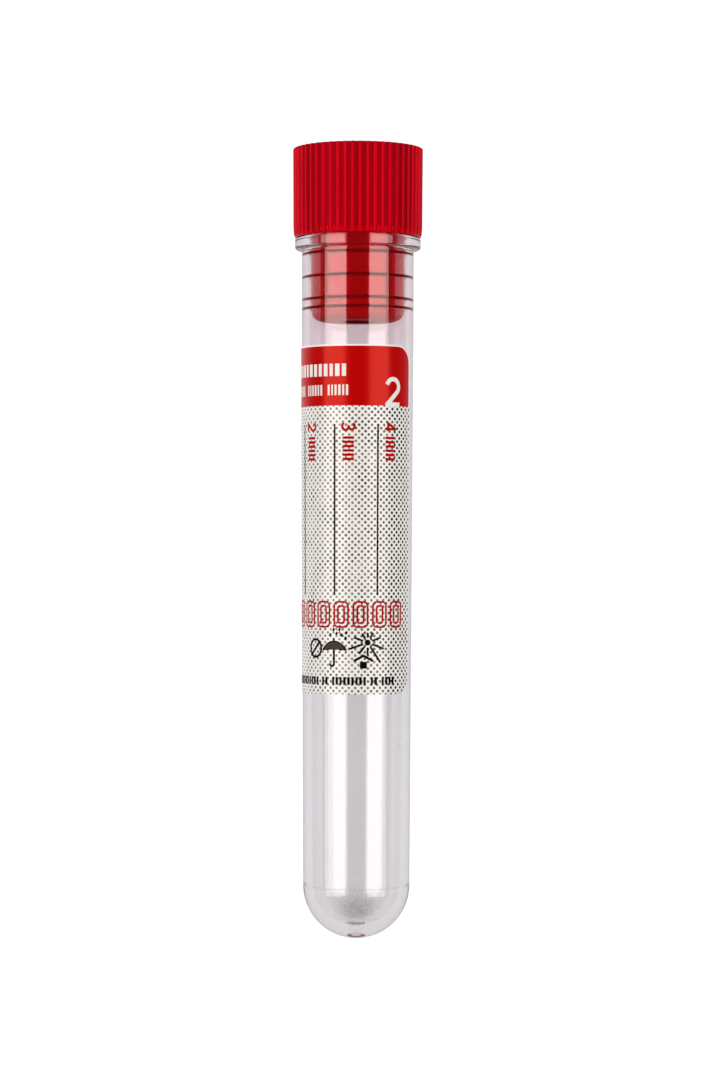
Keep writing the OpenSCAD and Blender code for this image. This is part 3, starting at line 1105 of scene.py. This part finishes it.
# %% [markdown]
# ## The clot activator
#
# Such a tube is sprayed inside with fine silica, which helps the sample to clot. It dries to white specks, most
# of them in the round bottom. The front of that bottom is darkened with painted shade: a thin round patch of
# dark grey just inside the bore, at the front of its bottom, seen through by its alpha. A brownish line lower
# down is where the last drop dried. The specks are small flat grains. A seeded generator scatters them, so that
# they fall the same way each time.

# %% The patch of painted shade
PATCH_TURN = math.radians(1)
PATCH_DIP = math.radians(28)
PATCH_REACH = math.radians(40)
PATCH_LIFT = 0.1
PATCH_T = 0.012
PATCH_RINGS = 16
PATCH_SPOKES = 64
# The innermost ring's share of a ring's step, so that it isn't a single point
PATCH_EYE = 0.02


def bore_point(turn, dip, lift):
    """A point lift millimetres inside the round bottom of the bore, turn from the front and dip below its middle."""
    radius = BORE_BASE_R - lift
    level = radius * math.cos(dip)
    return (level * math.sin(turn), -level * math.cos(turn), BORE_BASE_Z - radius * math.sin(dip))


def shade_patch():
    """A thin round patch of painted shade on the bore's bottom, as two layers that share an edge."""
    bore_middle = Vector((0, 0, BORE_BASE_Z))
    middle = Vector(bore_point(PATCH_TURN, PATCH_DIP, 0)) - bore_middle
    first = middle.orthogonal().normalized()
    points, faces = [], []
    for lift in (PATCH_LIFT, PATCH_LIFT + PATCH_T):
        for ring in range(PATCH_RINGS + 1):
            reach = PATCH_REACH * (ring + PATCH_EYE) / (PATCH_RINGS + PATCH_EYE)
            for spin in even_turn(PATCH_SPOKES):
                axis = Matrix.Rotation(spin, 3, middle) @ first
                out = Matrix.Rotation(reach, 3, axis) @ middle
                points.append(tuple(out * (1 - lift / BORE_BASE_R) + bore_middle))
    layer = (PATCH_RINGS + 1) * PATCH_SPOKES
    for ring in range(PATCH_RINGS):
        for spoke in range(PATCH_SPOKES):
            here, there = ring * PATCH_SPOKES + spoke, ring * PATCH_SPOKES + (spoke + 1) % PATCH_SPOKES
            corners = [here, there, there + PATCH_SPOKES, here + PATCH_SPOKES]
            faces += [corners, [c + layer for c in corners[::-1]]]
    rim = PATCH_RINGS * PATCH_SPOKES
    for spoke in range(PATCH_SPOKES):
        here, there = rim + spoke, rim + (spoke + 1) % PATCH_SPOKES
        faces.append([here, there, there + layer, here + layer])
    faces += [list(range(PATCH_SPOKES))[::-1], [layer + i for i in range(PATCH_SPOKES)]]
    return new_piece("bottom_shade_patch", points, faces)


# %% The painted shade's finish
SHADE_END = 4.2
SHADE_FALL = 1.5
SHADE_STRONGEST = 0.42
# Painted shade: the patch's dark and pale greys darken the front of the bore's bottom
SHADE_DARK = (0.20, 0.20, 0.22)
SHADE_PALE = (0.42, 0.42, 0.45)


def bottom_painted_shade():
    # A dark grey patch seen through by its alpha: painted shade on the front of the bottom
    finish = Finish("bottom_painted_shade", IOR=1.2, Specular_IOR_Level=0.1)
    place = finish.place()
    x, y, z = finish.split(place)
    patch_x, patch_y, patch_z = bore_point(PATCH_TURN, PATCH_DIP, 0)
    across, deep, up = x - patch_x, y - patch_y, z - patch_z
    off = (across * across + deep * deep + up * up).root()
    shade_falloff = (1 - off.between(0, SHADE_END)).power(SHADE_FALL)
    cloud = finish.noise(place, 0.9, 3)
    fine = finish.noise(place, 7, 3)
    finish.set(Base_Color=finish.mix(fine.between(0.35, 0.65), SHADE_DARK, SHADE_PALE),
               Roughness=0.6 + 0.2 * cloud,
               Alpha=SHADE_STRONGEST * shade_falloff * (0.4 + 0.6 * fine.between(0.3, 0.7)))
    return finish


dress(shade_patch(), bottom_painted_shade(), "tube", "clear_wall")

# %% The dried drop
DROP_R = 1.25
DROP_W = 0.45
DROP_T = 0.2
DROP_LIFT = 0.01
DROP_STEPS = 60
DROP_START = -165
DROP_SPAN = 150
DROP_WAVES = (2, 3, 5, 8)
DROP_DARK = (0.045, 0.014, 0.002)
DROP_PALE = (0.30, 0.14, 0.03)


def dried_drop():
    """An uneven brownish line that a last drop of the spray left at the bottom of the bore."""
    dice = random.Random(3)
    waves = [(k, dice.uniform(0.02, 0.07), dice.uniform(0, 2 * math.pi)) for k in DROP_WAVES]
    points, faces = [], []
    for i in range(DROP_STEPS + 1):
        turn = math.radians(DROP_START + DROP_SPAN * i / DROP_STEPS)
        sway = sum(depth * math.sin(k * turn + phase) for k, depth, phase in waves)
        width = DROP_W * (0.7 + 0.5 * math.sin(turn * 3 + 1) ** 2) / 2
        for off, lift in ((-width, DROP_LIFT), (width, DROP_LIFT), (0, DROP_T)):
            radius = DROP_R + sway + off
            level = BORE_BASE_Z - math.sqrt(BORE_BASE_R**2 - radius**2) + lift
            points.append(round_axis(radius, turn, level))
    for i in range(DROP_STEPS):
        faces += side_faces(3 * i, 3 * (i + 1), 3)
    faces += [(0, 1, 2), (3 * DROP_STEPS + 2, 3 * DROP_STEPS + 1, 3 * DROP_STEPS)]
    return new_piece("dried_drop", points, faces)


dried_spray = streaked("dried_spray", DROP_DARK, DROP_PALE, 3, Roughness=0.6)
dress(dried_drop(), dried_spray, "tube", "clear_wall")

# %% Where the specks lie
SPECK_COUNT = 170
SPECK_SIDES = 6
SPECK_RISE = 50
SPECK_SINK = 0.01
SMALLEST_SPECK = 0.06
SPECK_SPREAD = 0.15


def speck_place(dice, number):
    """A point on the bore and the way out from it.

    Of each three specks, one is up the wall, one at the front of the bottom and one anywhere in the bottom.
    """
    turn = dice.uniform(0, 2 * math.pi)
    if number % 3 == 0:
        z = BORE_BASE_Z + dice.uniform(0, 1) ** 2 * SPECK_RISE
        radius = bore_r(z)
        out = Vector(round_axis(1, turn, 0))
    else:
        if number % 3 == 1:
            dip = math.radians(dice.gauss(28, 13))
            turn = -math.pi / 2 + dice.gauss(0.05, 0.42)
        else:
            dip = math.radians(dice.uniform(5, 85))
        radius, z = BORE_BASE_R * math.cos(dip), BORE_BASE_Z - BORE_BASE_R * math.sin(dip)
        out = Vector(round_axis(math.cos(dip), turn, -math.sin(dip)))
    return Vector(round_axis(radius, turn, z)), out


# %% The specks
def scatter_specks():
    dice = random.Random(7)
    points, faces = [], []
    for number in range(SPECK_COUNT):
        spot, out = speck_place(dice, number)
        middle = spot - out * SPECK_SINK
        first = out.orthogonal().normalized()
        second = out.cross(first)
        size = SMALLEST_SPECK + SPECK_SPREAD * dice.random() ** 4
        start = len(points)
        points.append(tuple(middle - out * size * 0.6))
        for k in range(SPECK_SIDES):
            angle = math.radians(360 / SPECK_SIDES * k)
            reach = size * dice.uniform(0.7, 1.2)
            points.append(tuple(middle + (first * math.cos(angle) + second * math.sin(angle)) * reach))
        faces.append([start + 1 + k for k in range(SPECK_SIDES)])
        faces += [[start, start + 1 + (k + 1) % SPECK_SIDES, start + 1 + k] for k in range(SPECK_SIDES)]
    return new_piece("activator_specks", points, faces)


def speck_finish():
    finish = Finish("silica_speck", Roughness=0.5)
    grit = finish.noise(finish.place(), 20)
    finish.set(Base_Color=finish.mix(grit, (0.92, 0.92, 0.93), (1.0, 1.0, 1.0)))
    return finish


dress(scatter_specks(), speck_finish(), "tube", "clear_wall")

# %% [markdown]
# ## Floor, lamps and camera
#
# The tube is shown on a plain pale floor between two tall soft lamps, left and right of the camera. A round
# shiny wall mirrors each lamp as a straight bright band. The camera sees the floor brighter than it lights the
# tube: one lit floor could do both, but its look and its light could then not be set apart. Mirrored light doesn't
# meet the floor at all. It goes on to the sky, which glows below, fades out towards the horizon and is nearly
# dark above.

# %% The floor
FLOOR_REACH = 2
FLOOR_COLOUR = (0.30, 0.30, 0.31)
FLOOR_GLOW = 0.75
FLOOR_SEEN = 1.1
WHITE = (1, 1, 1)

floor_mesh = bpy.data.meshes.new("floor")
floor_mesh.from_pydata([(x * FLOOR_REACH, y * FLOOR_REACH, 0) for x, y in ((-1, -1), (1, -1), (1, 1), (-1, 1))],
                       [], [(0, 1, 2, 3)])
floor = new_object("floor", floor_mesh)
floor_finish = Finish("pale_floor", Base_Color=FLOOR_COLOUR, Roughness=1.0, Specular_IOR_Level=0.0,
                      Emission_Color=WHITE, Emission_Strength=FLOOR_GLOW)
bright = floor_finish.add("ShaderNodeEmission", {}, {"Color": WHITE, "Strength": FLOOR_SEEN})
shaders = {0: floor_finish.ray("Is Camera Ray"), 1: floor_finish.surface, 2: bright}
floor_finish.show(floor_finish.add("ShaderNodeMixShader", {}, shaders))
floor.data.materials.append(floor_finish.material)
floor.visible_glossy = False

# %% The lamps
LAMP_DISTANCE = 0.5
LAMP_LOW = -0.235
LAMP_HIGH = 0.36
LAMP_AIM_Z = 0.009
LAMP_COLOUR = (1.0, 0.94, 0.88)
LAMP_RADIANCE = 3.2


def soft_lamp(name, inner, outer):
    """A tall lamp that spans from inner to outer, in degrees from straight above towards +X."""
    middle = math.radians((inner + outer) / 2)
    lamp = bpy.data.lights.new(name, "AREA")
    lamp.shape = "RECTANGLE"
    lamp.size = 2 * LAMP_DISTANCE * math.tan(math.radians(abs(outer - inner) / 2))
    lamp.size_y = LAMP_HIGH - LAMP_LOW
    lamp.energy = LAMP_RADIANCE * math.pi * lamp.size * lamp.size_y
    lamp.color = LAMP_COLOUR
    toward = Vector((math.sin(middle), 0, math.cos(middle)))
    place = Vector((0, (LAMP_LOW + LAMP_HIGH) / 2, LAMP_AIM_Z)) + toward * LAMP_DISTANCE
    new_object(name, lamp).matrix_world = Matrix.Translation(place) @ Matrix.Rotation(middle, 4, "Y")
    print(f"{name}: {lamp.size:.3f} by {lamp.size_y:.3f} m, {lamp.energy:.2f} W")


soft_lamp("lamp_left", -24, -71)
soft_lamp("lamp_right", 24, 66)

# %% The sky
SKY_COLOUR = (0.97, 0.965, 1.0)
SKY_FADE = {"From Min": -0.75, "From Max": -0.15, "To Min": 0.6, "To Max": 0.03}

world = bpy.data.worlds.new("studio")
bpy.context.scene.world = world
world.use_nodes = True
sky = Graph(world.node_tree)
height = sky.split(sky.add("ShaderNodeTexCoord", {}, {}, output="Generated"))[2]
glow = sky.add("ShaderNodeMapRange", {"interpolation_type": "SMOOTHSTEP"}, {"Value": height, **SKY_FADE})
background = sky.tree.nodes["Background"]
sky.feed(background.inputs["Color"], SKY_COLOUR)
sky.feed(background.inputs["Strength"], glow)

# %% [markdown]
# The camera looks along the line that the label faces, so the tube stands upright in the frame. Its lens and its
# distance come from two numbers: how many millimetres one step of the frame's height covers at the axis, and how
# many such steps the lens is long. A long lens keeps both ends of the tube at nearly one scale.

# %% The camera
FRAME_STEPS = 1080
LENS_STEPS = 2990
STEP_MM = 0.1432
SENSOR_H = 36
CAMERA_Z = 55.4
AIM_Z = 56.8
AIM_X = 0.20
ROLL = math.radians(0.145)

camera_data = bpy.data.cameras.new("camera")
camera_data.sensor_fit = "VERTICAL"
camera_data.sensor_height = SENSOR_H
camera_data.lens = SENSOR_H * LENS_STEPS / FRAME_STEPS
camera = new_object("camera", camera_data)
distance = STEP_MM * LENS_STEPS
eye = LAID @ Vector((AIM_X, -distance, CAMERA_Z))
target = LAID @ Vector((AIM_X, 0, AIM_Z))
forward = (target - eye).normalized()
level = forward.cross(up_axis).normalized()
upright = level.cross(forward)
right = level * math.cos(ROLL) + upright * math.sin(ROLL)
rise = upright * math.cos(ROLL) - level * math.sin(ROLL)
camera.matrix_world = Matrix((right, rise, -forward)).transposed().to_4x4()
camera.location = eye
bpy.context.scene.camera = camera
bpy.context.scene.view_settings.view_transform = "Standard"
print(f"camera {distance:.0f} mm from the axis, lens {camera_data.lens:.1f} mm")
